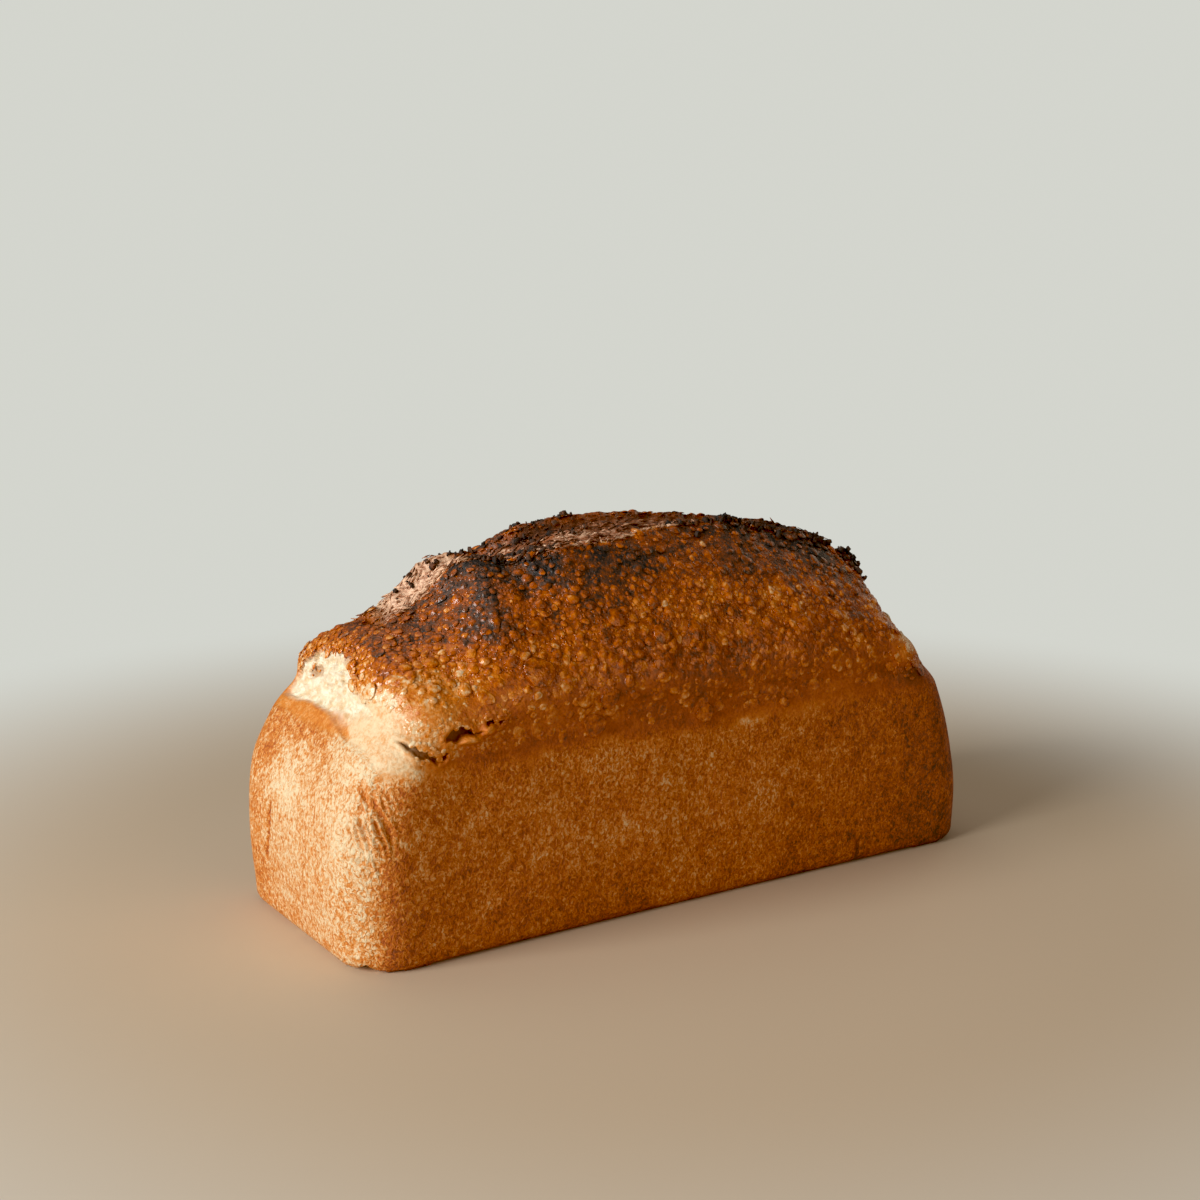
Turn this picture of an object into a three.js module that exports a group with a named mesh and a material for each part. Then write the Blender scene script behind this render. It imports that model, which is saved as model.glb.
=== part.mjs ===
// Tin loaf: a sourdough loaf baked in a long tin, one closed solid.
// Millimetres, +Z up, +X along the loaf, -Y the long side with the tears.
import * as THREE from 'three';
import { mergeVertices } from 'three/addons/utils/BufferGeometryUtils.js';

// ---------------------------------------------------------------- dimensions
const baseWidth = 95.7;        // across the tin part
const rim = 64;                // height where the tin wall ends and the dome starts
const wallCorner = 18;         // upright corner rounding of the tin part
const topCorner = 4.5;          // the same rounding up on the dome
const baseCorner = 4;          // rounding round the bottom edge
const spineHalf = 85;          // half length of the line the surface is measured from
const spineHeight = 60;

// ridge height along the loaf: [x, z]
const ridge = [[-140, 86], [-112, 93.8], [-104, 95.8], [-93, 98.4], [-84, 101.8], [-75, 108.6],
  [-66, 116.6], [-52, 117.8], [-44, 121.8], [-36, 124.2], [-17, 126], [15, 124.8],
  [50, 120.6], [80, 114.8], [95, 109.5], [106, 102], [140, 82]];
// how far the left and right end faces stand from the middle: [z, distance]
const leftEnd = [[-5, 123.5], [0, 123.5], [30, 125.5], [50, 123.4], [64, 116.8],
  [76, 109.6], [84, 108.6], [91, 105.4], [97, 101.6], [110, 90], [130, 68]];
const rightEnd = [[-5, 126.2], [0, 126], [30, 125], [60, 115.5], [68, 107.5],
  [80, 99], [91, 94], [97, 91.6], [104, 90.6], [112, 89], [130, 72]];
// roundness of the dome section: low is gable-like, 2 is an ellipse
const domeLeft = 1.9, domeMiddle = 2.0, domeRight = 1.45;

// front lip of the score seen from above: [x, y]
const lip = [[-96, -8], [-82, -4], [-66, -7], [-50, -14], [-36, -19],
  [-16, -19], [4, -15.5], [30, -13], [56, -13], [76, -15.5], [96, -18]];
const gapWidth = 21;           // opened crust between the two lips
const gapDepth = 3.4;
const lipRise = 2.6;

// round blisters big enough to count as shape: [x, z, radius, height] on the front
const blisters = [[-60, 86, 7.5, 1.3], [-39, 68, 4.5, 1.6], [-84, 80, 4, 1.1],
  [-12, 84, 5, 1.3], [6, 79, 5.5, 1.4], [22, 92, 5, 1.5], [38, 99, 4.5, 1.3],
  [48, 86, 6, 1.4], [-30, 101, 5, 1.4], [-72, 94, 4.5, 1.3], [66, 92, 4, 1.2],
  [-8, 104, 4, 1.3], [-50, 106, 4.5, 1.3], [80, 84, 4.5, 1.2], [30, 78, 4, 1]];
// torn slots on the front: [x0, z0, x1, z1, half width, depth]
const slots = [[-106, 71.5, -98, 66.5, 2.6, 2.2], [-98, 66.5, -93, 67, 2.4, 1.8],
  [-95, 71.5, -84, 74.5, 3.4, 2.8], [-44.5, 83, -37, 72.5, 2.4, 1.5],
  [71, 2, 71.5, 8, 3, 1.4]];

// mesh lines along, across and up the loaf
const linesX = 64, linesY = 22, linesLow = 7, linesHigh = 13;

// ------------------------------------------------------------------- helpers
const clamp = (v, a, b) => Math.min(Math.max(v, a), b);
const smooth = (t) => { t = clamp(t, 0, 1); return t * t * (3 - 2 * t); };
const bell = (d, w) => Math.exp(-(d * d) / (w * w));

// smooth curve through a list of points
function curve(list, x) {
  const n = list.length - 1;
  x = clamp(x, list[0][0], list[n][0]);
  let i = 0;
  while (i < n - 1 && x > list[i + 1][0]) i++;
  const slope = (k) => {
    const a = Math.max(k - 1, 0), b = Math.min(k + 1, n);
    return (list[b][1] - list[a][1]) / (list[b][0] - list[a][0]);
  };
  const [x0, y0] = list[i], [x1, y1] = list[i + 1], h = x1 - x0, t = (x - x0) / h;
  return y0 * (1 + 2 * t) * (1 - t) ** 2 + slope(i) * h * t * (1 - t) ** 2
    + y1 * t * t * (3 - 2 * t) + slope(i + 1) * h * t * t * (t - 1);
}

// repeatable noise between -1 and 1
function hash(i, j, k) {
  const s = Math.sin(i * 127.1 + j * 311.7 + k * 74.7) * 43758.5453;
  return 2 * (s - Math.floor(s)) - 1;
}
function noise(x, y, z, size) {
  const p = [x, y, z].map((v) => v / size), c = p.map(Math.floor);
  const [fx, fy, fz] = p.map((v, n) => smooth(v - c[n]));
  let sum = 0;
  for (let n = 0; n < 8; n++) {
    const a = n & 1, b = (n >> 1) & 1, d = n >> 2;
    sum += hash(c[0] + a, c[1] + b, c[2] + d)
      * (a ? fx : 1 - fx) * (b ? fy : 1 - fy) * (d ? fz : 1 - fz);
  }
  return sum;
}

// distance from (u, v) to the segment a-b
function toSegment(u, v, [ax, az, bx, bz]) {
  const dx = bx - ax, dz = bz - az;
  const t = clamp(((u - ax) * dx + (v - az) * dz) / (dx * dx + dz * dz), 0, 1);
  return Math.hypot(u - ax - t * dx, v - az - t * dz);
}

// two half spaces joined with a round edge of radius r
function joinRound(a, b, r) {
  return Math.min(-r, Math.max(a, b)) + Math.hypot(Math.max(r + a, 0), Math.max(r + b, 0));
}

// ---------------------------------------------------------------- plain body
// negative inside the loaf, positive outside
function body(x, y, z) {
  const up = clamp(z, 0, rim);
  const waist = 2 * (1 - (x / 120) ** 2) * (1 - up / 90);
  const swell = 2.3 * bell(z - 83, 13) - 0.6 * bell(z - 66, 7);
  const half = baseWidth / 2 - waist + swell;
  const towardEnd = smooth((Math.abs(x) - 40) / 70);
  const n = domeMiddle + ((x < 0 ? domeLeft : domeRight) - domeMiddle) * towardEnd;
  const lift = Math.max(z - rim, 0) / (curve(ridge, x) - rim);
  const side = (((Math.abs(y) / half) ** n + lift ** n) ** (1 / n) - 1) * half;
  const end = x < 0 ? -x - curve(leftEnd, z) : x - curve(rightEnd, z);
  const r = wallCorner + (topCorner - wallCorner) * smooth((z - 75) / 25);
  return joinRound(joinRound(side, end, r), -z, baseCorner);
}

// -------------------------------------------------------------------- relief
// how far the crust stands out from the plain body, in millimetres
function relief(x, y, z) {
  let d = 0;
  const onTop = smooth((z - 84) / 8);
  const along = smooth((x + 98) / 12) * smooth((96 - x) / 10);
  const across = y - curve(lip, x);

  // the score: curled front lip, sunken torn gap, lower back lip
  const lipUp = lipRise * (0.75 + 0.35 * noise(x, 0, 0, 9));
  d += onTop * along * lipUp * (across < 0 ? bell(across, 7) : bell(across, 1.6));
  const gap = smooth(across / 2.4) * (1 - smooth((across - gapWidth + 2) / 5));
  d += onTop * along * gap * (-gapDepth + 1.6 * noise(x * 0.45, y, z, 3.6));
  d += onTop * along * 1.7 * bell(across - gapWidth - 1.5, 3.5) * (1 + 0.6 * noise(x, 3, 0, 5));

  // burnt crags standing on the ridge
  const right = smooth((x - 10) / 16) * smooth((99 - x) / 6) * bell(across - 7, 9);
  const left = smooth((x + 46) / 7) * smooth((-28 - x) / 8) * bell(across - 17, 6);
  d += onTop * (right + 0.7 * left) * (0.8 + 1.5 * noise(x, y, 0, 4));

  // the upper crust hangs a little over the tin wall
  const wall = smooth((Math.abs(y) - 30) / 10) * smooth((118 - Math.abs(x)) / 16);
  const edge = 74 + 4 * noise(x, 0, 7, 24);
  d += wall * (0.6 * bell(z - edge - 4, 5) - 0.3 * bell(z - edge + 3.5, 5));

  // left end: top crust as a flap, torn dough and a hole under it
  const atLeft = smooth((-96 - x) / 8);
  const flap = atLeft * smooth((y + 20) / 10);
  d += flap * (1.6 * bell(z - 85, 4) - 1.4 * bell(z - 75, 4));
  d -= atLeft * (1.7 + noise(x, y, z, 7)) * bell(z - 79, 7.5) * smooth((38 - y) / 22) * smooth((44 + y) / 10);
  d -= atLeft * 4.5 * bell(Math.hypot(y - 15, (z - 83) * 1.5), 8);
  d += atLeft * 1.8 * bell(y + 13, 9) * bell(z - 69, 4.5);
  d += smooth((-118 - x) / 4) * 1.2 * bell(z - 1.5, 2.5) * bell(y - 30, 12);

  if (y < -20) {
    for (const [bx, bz, r, h] of blisters) {
      const q = Math.hypot(x - bx, z - bz) / r;
      if (q < 1.4) d += h * (1 - smooth(q / 1.4));
    }
    for (const s of slots) {
      const q = toSegment(x, z, s) / s[4];
      if (q < 1.6) d -= s[5] * (1 - smooth(q / 1.6));
    }
    // wrinkles down the near left corner
    d += 0.5 * smooth((-108 - x) / 6) * bell(z - 38, 22) * Math.sin(x * 1.1 - y * 0.9 + 2 * noise(0, 0, z, 9));
  }

  // uneven crust: coarse everywhere, knobbly on the dome
  d += 0.5 * noise(x, y, z, 17);
  d += 0.75 * smooth((z - 70) / 12) * noise(x, y, z, 6.5) * (1 - gap * along * onTop);
  return d * smooth(z / 5);
}

// ---------------------------------------------------------------------- mesh
// place the grid point (u, v, w) of a -1..1 box on the crust
function place(u, v, w) {
  const lipShift = w > 0 ? curve(lip, u * 112) * w ** 6 * (1 - v * v) : 0;
  const from = new THREE.Vector3(u * spineHalf, 0, spineHeight);
  const aim = new THREE.Vector3(u * 135, v * 60 + lipShift, spineHeight + w * (w < 0 ? 82 : 66)).sub(from);
  let near = 0, far = 3;
  for (let i = 0; i < 40; i++) {
    const mid = (near + far) / 2;
    const p = from.clone().addScaledVector(aim, mid);
    if (body(p.x, p.y, p.z) < 0) near = mid; else far = mid;
  }
  const p = from.addScaledVector(aim, near);
  const e = 0.5, slope = (dx, dy, dz) => body(p.x + dx, p.y + dy, p.z + dz) - body(p.x - dx, p.y - dy, p.z - dz);
  const normal = new THREE.Vector3(slope(e, 0, 0), slope(0, e, 0), slope(0, 0, e)).normalize();
  p.addScaledVector(normal, relief(p.x, p.y, p.z));
  if (p.z < 0.4) p.z = 0;
  return p;
}

// even steps from -1 to 1, drawn together towards the middle by k
const steps = (n, k) => Array.from({ length: n + 1 }, (_, i) => {
  const t = 2 * i / n - 1;
  return (1 - k) * t + k * t ** 3;
});

function loafGeometry() {
  const U = steps(linesX, 0), V = steps(linesY, 0.35);
  const linesZ = linesLow + linesHigh;
  const W = Array.from({ length: linesZ + 1 }, (_, i) => (i < linesLow ? i / linesLow - 1 : (i - linesLow) / linesHigh));
  const position = [], index = [], seen = new Map();
  const point = (i, j, k) => {
    const key = `${i},${j},${k}`;
    if (!seen.has(key)) {
      seen.set(key, position.length / 3);
      position.push(...place(U[i], V[j], W[k]).toArray());
    }
    return seen.get(key);
  };
  // split each four-sided cell along its shorter diagonal
  const at = (n) => new THREE.Vector3(...position.slice(3 * n, 3 * n + 3));
  const cell = (a, b, c, d) => {
    if (at(a).distanceTo(at(c)) < at(b).distanceTo(at(d))) index.push(a, b, c, a, c, d);
    else index.push(a, b, d, b, c, d);
  };
  for (let i = 0; i < linesX; i++) {
    for (let j = 0; j < linesY; j++) {
      cell(point(i, j, linesZ), point(i + 1, j, linesZ), point(i + 1, j + 1, linesZ), point(i, j + 1, linesZ));
    }
    for (let k = 0; k < linesZ; k++) {
      cell(point(i, 0, k), point(i + 1, 0, k), point(i + 1, 0, k + 1), point(i, 0, k + 1));
      cell(point(i + 1, linesY, k), point(i, linesY, k), point(i, linesY, k + 1), point(i + 1, linesY, k + 1));
    }
  }
  for (let j = 0; j < linesY; j++) {
    for (let k = 0; k < linesZ; k++) {
      cell(point(0, j + 1, k), point(0, j, k), point(0, j, k + 1), point(0, j + 1, k + 1));
      cell(point(linesX, j, k), point(linesX, j + 1, k), point(linesX, j + 1, k + 1), point(linesX, j, k + 1));
    }
  }
  // the flat underside, a fan on z = 0
  const rimPoints = [];
  for (let i = 0; i < linesX; i++) rimPoints.push(point(i, 0, 0));
  for (let j = 0; j < linesY; j++) rimPoints.push(point(linesX, j, 0));
  for (let i = linesX; i > 0; i--) rimPoints.push(point(i, linesY, 0));
  for (let j = linesY; j > 0; j--) rimPoints.push(point(0, j, 0));
  for (const n of rimPoints) position[3 * n + 2] = 0;
  const hub = position.length / 3;
  position.push(0, 0, 0);
  rimPoints.forEach((n, i) => index.push(hub, rimPoints[(i + 1) % rimPoints.length], n));

  const geometry = new THREE.BufferGeometry();
  geometry.setAttribute('position', new THREE.Float32BufferAttribute(position, 3));
  geometry.setIndex(index);
  geometry.computeBoundingBox();
  const middle = geometry.boundingBox.getCenter(new THREE.Vector3());
  geometry.translate(-middle.x, -middle.y, 0);
  return mergeVertices(geometry, 1e-4);
}

const group = new THREE.Group();
const loaf = new THREE.Mesh(loafGeometry(), new THREE.MeshStandardMaterial({ color: 0xb5722f, roughness: 0.6 }));
loaf.name = 'loaf';
group.add(loaf);
export default group;
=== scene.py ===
# %% [markdown]
# A sourdough loaf baked in a long tin. This lesson dresses the imported solid
# with a crust that has the real loaf's blisters, tears, burnt crags and colours.
# We load the solid first.

# %% Load the imported loaf
import math
from itertools import product

import bpy
import numpy as np
from mathutils import Matrix, Vector
from mathutils.kdtree import KDTree


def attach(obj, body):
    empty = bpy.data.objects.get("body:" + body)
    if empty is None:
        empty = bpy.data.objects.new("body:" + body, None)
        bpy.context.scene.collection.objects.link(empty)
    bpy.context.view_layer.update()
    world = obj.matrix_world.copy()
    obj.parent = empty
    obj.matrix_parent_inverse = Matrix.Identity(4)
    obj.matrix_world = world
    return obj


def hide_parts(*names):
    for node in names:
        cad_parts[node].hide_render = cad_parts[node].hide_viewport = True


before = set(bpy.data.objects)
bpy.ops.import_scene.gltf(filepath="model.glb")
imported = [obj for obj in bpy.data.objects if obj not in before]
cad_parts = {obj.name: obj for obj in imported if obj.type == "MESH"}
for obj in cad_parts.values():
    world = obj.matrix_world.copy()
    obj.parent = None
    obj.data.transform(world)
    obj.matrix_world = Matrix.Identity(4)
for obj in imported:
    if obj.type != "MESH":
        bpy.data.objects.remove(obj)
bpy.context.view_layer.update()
print(len(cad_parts), "node in the frame")
MM = 0.001

# %% [markdown]
# The camera stands a little above the loaf, off its near left corner, so that it
# sees the long front, the left end and some of the top. We place it from its
# position and the three directions it is turned to.

# %% Camera
SENSOR_MM, LENS_MM = 36.0, 52.9
CAMERA_PLACE = (-0.33354, -0.49986, 0.21513)  # metres
CAMERA_RIGHT, CAMERA_FORWARD = (0.8386, -0.5448, 0.0), (0.5343, 0.8225, -0.1947)

camera_data = bpy.data.cameras.new("camera")
camera = bpy.data.objects.new("camera", camera_data)
bpy.context.scene.collection.objects.link(camera)
camera_data.sensor_width = SENSOR_MM
camera_data.lens = LENS_MM
camera_data.clip_start = 0.01
right = Vector(CAMERA_RIGHT).normalized()
forward = Vector(CAMERA_FORWARD).normalized()
up = right.cross(forward)
turned = Matrix((right, up, -forward)).transposed()
camera.matrix_world = Matrix.Translation(Vector(CAMERA_PLACE)) @ turned.to_4x4()
bpy.context.scene.camera = camera
print("camera", [round(v, 3) for v in camera.location])

# %% [markdown]
# A plain pale floor in a plain room: one large soft light from the left, and
# weak ones from the front, the right and above. Far from the loaf the floor
# fades into the room's colour. Only the camera sees that colour. It doesn't
# light the loaf, so the long front keeps its shade.

# %% Floor, room and lights
FLOOR_COLOUR, FLOOR_ROUGHNESS = (0.62, 0.50, 0.36, 1), 0.7
ROOM_COLOUR = (0.66, 0.67, 0.62, 1)
FADE_FROM, FADE_TO = 0.17, 0.45  # metres from the middle of the loaf
SOFT_GLOW, GLOW_STRENGTH = (0.95, 0.95, 0.93, 1), 0.13
LAMPS_AIM = (0, 0, 0.06)
LAMPS = [  # name, place and size in metres, watts, tint
    ("window", (-1.42, -0.08, 0.62), (0.8, 0.8), 24.0, (1.0, 0.97, 0.94)),
    ("fill", (0.3, -1.6, 0.7), (1.2, 0.8), 4.8, (1.0, 0.71, 0.42)),
    ("bounce", (1.25, 0.45, 0.55), (0.9, 0.7), 1.8, (1.0, 0.80, 0.58)),
    ("sky", (-0.2, 0.6, 1.5), (1.2, 1.2), 3.0, (1.0, 0.96, 0.90)),
]

bpy.ops.mesh.primitive_circle_add(vertices=96, radius=12.0, fill_type="NGON", location=(0, 0, 0))
floor = bpy.context.object
floor.name = "floor"
floor_finish = bpy.data.materials.new("pale_floor")
floor_finish.use_nodes = True
nodes, links = floor_finish.node_tree.nodes, floor_finish.node_tree.links
near_floor = nodes["Principled BSDF"]
near_floor.inputs["Base Color"].default_value = FLOOR_COLOUR
near_floor.inputs["Roughness"].default_value = FLOOR_ROUGHNESS
far_floor = nodes.new("ShaderNodeEmission")
far_floor.inputs["Color"].default_value = ROOM_COLOUR
coords = nodes.new("ShaderNodeTexCoord")
reach = nodes.new("ShaderNodeVectorMath")
reach.operation = "LENGTH"
links.new(coords.outputs["Object"], reach.inputs[0])
fade = nodes.new("ShaderNodeMapRange")
fade.interpolation_type = "SMOOTHSTEP"
fade.inputs["From Min"].default_value = FADE_FROM
fade.inputs["From Max"].default_value = FADE_TO
links.new(reach.outputs["Value"], fade.inputs["Value"])
seen_far = nodes.new("ShaderNodeMath")
seen_far.operation = "MULTIPLY"
links.new(fade.outputs[0], seen_far.inputs[0])
links.new(nodes.new("ShaderNodeLightPath").outputs["Is Camera Ray"], seen_far.inputs[1])
blend = nodes.new("ShaderNodeMixShader")
links.new(seen_far.outputs[0], blend.inputs[0])
links.new(near_floor.outputs[0], blend.inputs[1])
links.new(far_floor.outputs[0], blend.inputs[2])
links.new(blend.outputs[0], nodes["Material Output"].inputs["Surface"])
floor.data.materials.append(floor_finish)

world = bpy.data.worlds.new("room")
bpy.context.scene.world = world
world.use_nodes = True
nodes, links = world.node_tree.nodes, world.node_tree.links
seen = nodes.new("ShaderNodeBackground")
seen.inputs["Color"].default_value = ROOM_COLOUR
path = nodes.new("ShaderNodeLightPath")
pick = nodes.new("ShaderNodeMixShader")
nodes["Background"].inputs["Color"].default_value = SOFT_GLOW
nodes["Background"].inputs["Strength"].default_value = GLOW_STRENGTH
links.new(path.outputs["Is Camera Ray"], pick.inputs[0])
links.new(nodes["Background"].outputs[0], pick.inputs[1])
links.new(seen.outputs[0], pick.inputs[2])
links.new(pick.outputs[0], nodes["World Output"].inputs["Surface"])


def soft_light(name, place, size, power, tint):
    data = bpy.data.lights.new(name, "AREA")
    data.shape = "RECTANGLE"
    data.size, data.size_y = size
    data.energy = power
    data.color = tint
    lamp = bpy.data.objects.new(name, data)
    bpy.context.scene.collection.objects.link(lamp)
    lamp.location = place
    toward = Vector(LAMPS_AIM) - Vector(place)
    lamp.rotation_euler = toward.to_track_quat("-Z", "Y").to_euler()


for lamp_facts in LAMPS:
    soft_light(*lamp_facts)
view = bpy.context.scene.view_settings
view.view_transform = "Standard"
view.use_curve_mapping = True
view.curve_mapping.black_level = (0.010, 0.010, 0.011)
print(len(LAMPS), "lamps,", sum(facts[3] for facts in LAMPS), "watts in all")

# %% [markdown]
# The loaf's plain shape comes from a few curves in millimetres, the same as in
# the solid: the ridge along the top, how far each end stands out, and the line
# of the score. A smooth curve through a short list of points gives each one.
# The dome's section has a power: near 1.5 it is gable-like, at 2 an ellipse.

# %% Shape curves
BASE_WIDTH, RIM = 95.7, 64.0
WALL_CORNER, TOP_CORNER, BASE_CORNER = 18.0, 4.5, 4.0
SPINE_HALF, SPINE_HEIGHT = 85.0, 60.0
RIDGE = [(-140, 86), (-112, 93.8), (-104, 95.8), (-93, 98.4), (-84, 101.8), (-75, 108.6),
         (-66, 116.6), (-52, 117.8), (-44, 121.8), (-36, 124.2), (-17, 126), (15, 124.8),
         (50, 120.6), (80, 114.8), (95, 109.5), (106, 102), (140, 82)]
LEFT_END = [(-5, 123.5), (0, 123.5), (30, 125.5), (50, 123.4), (64, 116.8), (76, 109.6),
            (84, 108.6), (91, 105.4), (97, 101.6), (110, 90), (130, 68)]
RIGHT_END = [(-5, 126.2), (0, 126), (30, 125), (60, 115.5), (68, 107.5), (80, 99), (91, 94),
             (97, 91.6), (104, 90.6), (112, 89), (130, 72)]
DOME_LEFT, DOME_MIDDLE, DOME_RIGHT = 1.9, 2.0, 1.45
LIP = [(-96, -8), (-82, -4), (-66, -7), (-50, -14), (-36, -19), (-16, -19), (4, -15.5), (30, -13),
       (56, -13), (76, -15.5), (96, -18)]
GAP_WIDTH, GAP_DEPTH, LIP_RISE = 21.0, 3.4, 2.6


def curve(points, x):
    """Height at x of the smooth curve through the points."""
    px, py = np.array(points, float).T
    slope = np.gradient(py) / np.gradient(px)
    x = np.clip(x, px[0], px[-1])
    i = np.clip(np.searchsorted(px, x, side="right") - 1, 0, len(px) - 2)
    h = px[i + 1] - px[i]
    t = (x - px[i]) / h
    return (py[i] * (1 + 2 * t) * (1 - t) ** 2 + slope[i] * h * t * (1 - t) ** 2
            + py[i + 1] * t * t * (3 - 2 * t) + slope[i + 1] * h * t * t * (t - 1))


def smooth(t):
    """A soft step: 0 below 0, 1 above 1."""
    t = np.clip(t, 0, 1)
    return t * t * (3 - 2 * t)


def bell(d, w):
    """1 at distance 0, falling away over the width w."""
    return np.exp(-(d / w) ** 2)


def round_join(a, b, r):
    """The inside of both shapes a and b, with a corner of radius r."""
    return np.minimum(-r, np.maximum(a, b)) + np.hypot(np.maximum(r + a, 0), np.maximum(r + b, 0))


def body(x, y, z):
    """Negative inside the plain loaf, positive outside."""
    up_wall = np.clip(z, 0, RIM)
    waist = 2 * (1 - (x / 120) ** 2) * (1 - up_wall / 90)
    swell = 2.3 * bell(z - 83, 13) - 0.6 * bell(z - 66, 7)
    half = BASE_WIDTH / 2 - waist + swell
    toward_end = smooth((np.abs(x) - 40) / 70)
    n = DOME_MIDDLE + (np.where(x < 0, DOME_LEFT, DOME_RIGHT) - DOME_MIDDLE) * toward_end
    lift = np.maximum(z - RIM, 0) / (curve(RIDGE, x) - RIM)
    side = (((np.abs(y) / half) ** n + lift ** n) ** (1 / n) - 1) * half
    end = np.where(x < 0, -x - curve(LEFT_END, z), x - curve(RIGHT_END, z))
    r = WALL_CORNER + (TOP_CORNER - WALL_CORNER) * smooth((z - 75) / 25)
    return round_join(round_join(side, end, r), -z, BASE_CORNER)


print("ridge height at the middle", round(float(curve(RIDGE, np.array([0.0]))[0]), 1), "mm")

# %% [markdown]
# Dough is never regular, so we need repeatable noise. Each cell corner gets a
# random number from its place, and the numbers are blended smoothly between.

# %% Noise
def cell_random(i, j, k, seed):
    i, j, k = (v.astype(np.int64) for v in (i, j, k))
    n = (i * 73856093) ^ (j * 19349663) ^ (k * 83492791)
    n = (n ^ (seed * 2654435761)) & 0xFFFFFFFF
    n = ((n ^ (n >> 15)) * 2246822519) & 0xFFFFFFFF
    n = ((n ^ (n >> 13)) * 3266489917) & 0xFFFFFFFF
    return ((n ^ (n >> 16)) & 0xFFFFFF) / float(0xFFFFFF) * 2 - 1


def noise(x, y, z, size, seed=0):
    """Smooth noise from -1 to 1, with cells of that size in mm."""
    q = [np.asarray(v, float) / size for v in np.broadcast_arrays(x, y, z)]
    c = [np.floor(v) for v in q]
    f = [smooth(v - w) for v, w in zip(q, c)]
    total = 0.0
    for n in range(8):
        a, b, d = n & 1, (n >> 1) & 1, n >> 2
        weight = (f[0] if a else 1 - f[0]) * (f[1] if b else 1 - f[1]) * (f[2] if d else 1 - f[2])
        total = total + weight * cell_random(c[0] + a, c[1] + b, c[2] + d, seed)
    return total


def rough(x, y, z, size, seed=0, layers=3):
    """Noise with finer and weaker noise on top."""
    return sum(noise(x, y, z, size / 2 ** n, seed + n) / 1.8 ** n for n in range(layers))


def wiggle(x, y, z, size, seed=0):
    """Ridged noise: sharp crests at 1, with hollows between."""
    return 1 - np.abs(noise(x, y, z, size, seed)) * 1.8


print("noise sample", np.round(noise(np.arange(4.0), 0, 0, 3.0), 2))

# %% [markdown]
# The crust starts as a box of grids: fine lines where the dome is, wider ones
# low on the tin walls. Each grid is a primitive at its place on a cube, and the
# five are joined and their edges merged. The base is one face poked to a fan.

# %% Box of grids
LINES_X, LINES_Y, LINES_LOW, LINES_HIGH = 236, 90, 28, 46
LINES_Z = LINES_LOW + LINES_HIGH


def grid_face(nx, ny, turn, place):
    bpy.ops.mesh.primitive_grid_add(
        x_subdivisions=nx, y_subdivisions=ny, size=2, rotation=turn, location=place)
    return bpy.context.object


upright, sideways = (math.pi / 2, 0, 0), (0, math.pi / 2, 0)
faces = [
    grid_face(LINES_X, LINES_Y, (0, 0, 0), (0, 0, 1)),
    grid_face(LINES_X, LINES_Z, upright, (0, -1, 0)),
    grid_face(LINES_X, LINES_Z, upright, (0, 1, 0)),
    grid_face(LINES_Z, LINES_Y, sideways, (-1, 0, 0)),
    grid_face(LINES_Z, LINES_Y, sideways, (1, 0, 0)),
]
bpy.ops.object.select_all(action="DESELECT")
for face in faces:
    face.select_set(True)
bpy.context.view_layer.objects.active = faces[0]
bpy.ops.object.join()
crust = bpy.context.object
crust.name = "crust"
bpy.ops.object.transform_apply(location=True, rotation=True, scale=True)
bpy.ops.object.mode_set(mode="EDIT")
bpy.ops.mesh.select_all(action="SELECT")
bpy.ops.mesh.remove_doubles(threshold=0.0005)
bpy.ops.mesh.select_all(action="DESELECT")
bpy.ops.mesh.select_non_manifold()
bpy.ops.mesh.edge_face_add()
bpy.ops.mesh.poke()
bpy.ops.mesh.select_all(action="SELECT")
bpy.ops.mesh.normals_make_consistent(inside=False)
bpy.ops.object.mode_set(mode="OBJECT")
print("crust grid", len(crust.data.vertices), "points", len(crust.data.polygons), "faces")

# %% [markdown]
# From a line down the middle of the loaf we look out through every grid point
# and halve the distance again and again until we meet the plain loaf's skin.
# The cells where the crust tore or wrinkled are cut finer first.

# %% Put the grid on the loaf
BOX_HALF_X, BOX_HALF_Y, BOX_DOWN, BOX_UP = 135, 60, 82, 66  # mm, outside the loaf
LIP_REACH = 112  # mm, so far along the loaf the grid lines follow the score
HALVINGS, FARTHEST = 30, 3.0


def read_points(obj):
    flat = np.empty(len(obj.data.vertices) * 3, np.float32)
    obj.data.vertices.foreach_get("co", flat)
    return flat.reshape(-1, 3).astype(float)


def write_points(obj, points):
    obj.data.vertices.foreach_set("co", points.astype(np.float32).ravel())
    obj.data.update()


def on_skin(cube):
    """Points of the cube, -1 to 1 each way, moved onto the plain loaf in mm."""
    u, v, w = cube.T
    v = 0.8 * v + 0.2 * v ** 3
    row = (w + 1) / 2 * LINES_Z
    w = np.where(row < LINES_LOW, row / LINES_LOW - 1, (row - LINES_LOW) / LINES_HIGH)
    shift = np.where(w > 0, curve(LIP, u * LIP_REACH) * np.clip(w, 0, 1) ** 6 * (1 - v * v), 0)
    start = np.stack([u * SPINE_HALF, 0 * u, 0 * u + SPINE_HEIGHT], 1)
    height = SPINE_HEIGHT + w * np.where(w < 0, BOX_DOWN, BOX_UP)
    aim = np.stack([u * BOX_HALF_X, v * BOX_HALF_Y + shift, height], 1) - start
    near, far = np.zeros(len(u)), np.full(len(u), FARTHEST)
    for _ in range(HALVINGS):
        mid = (near + far) / 2
        p = start + aim * mid[:, None]
        inside = body(*p.T) < 0
        near, far = np.where(inside, mid, near), np.where(inside, far, mid)
    return start + aim * near[:, None]


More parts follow.
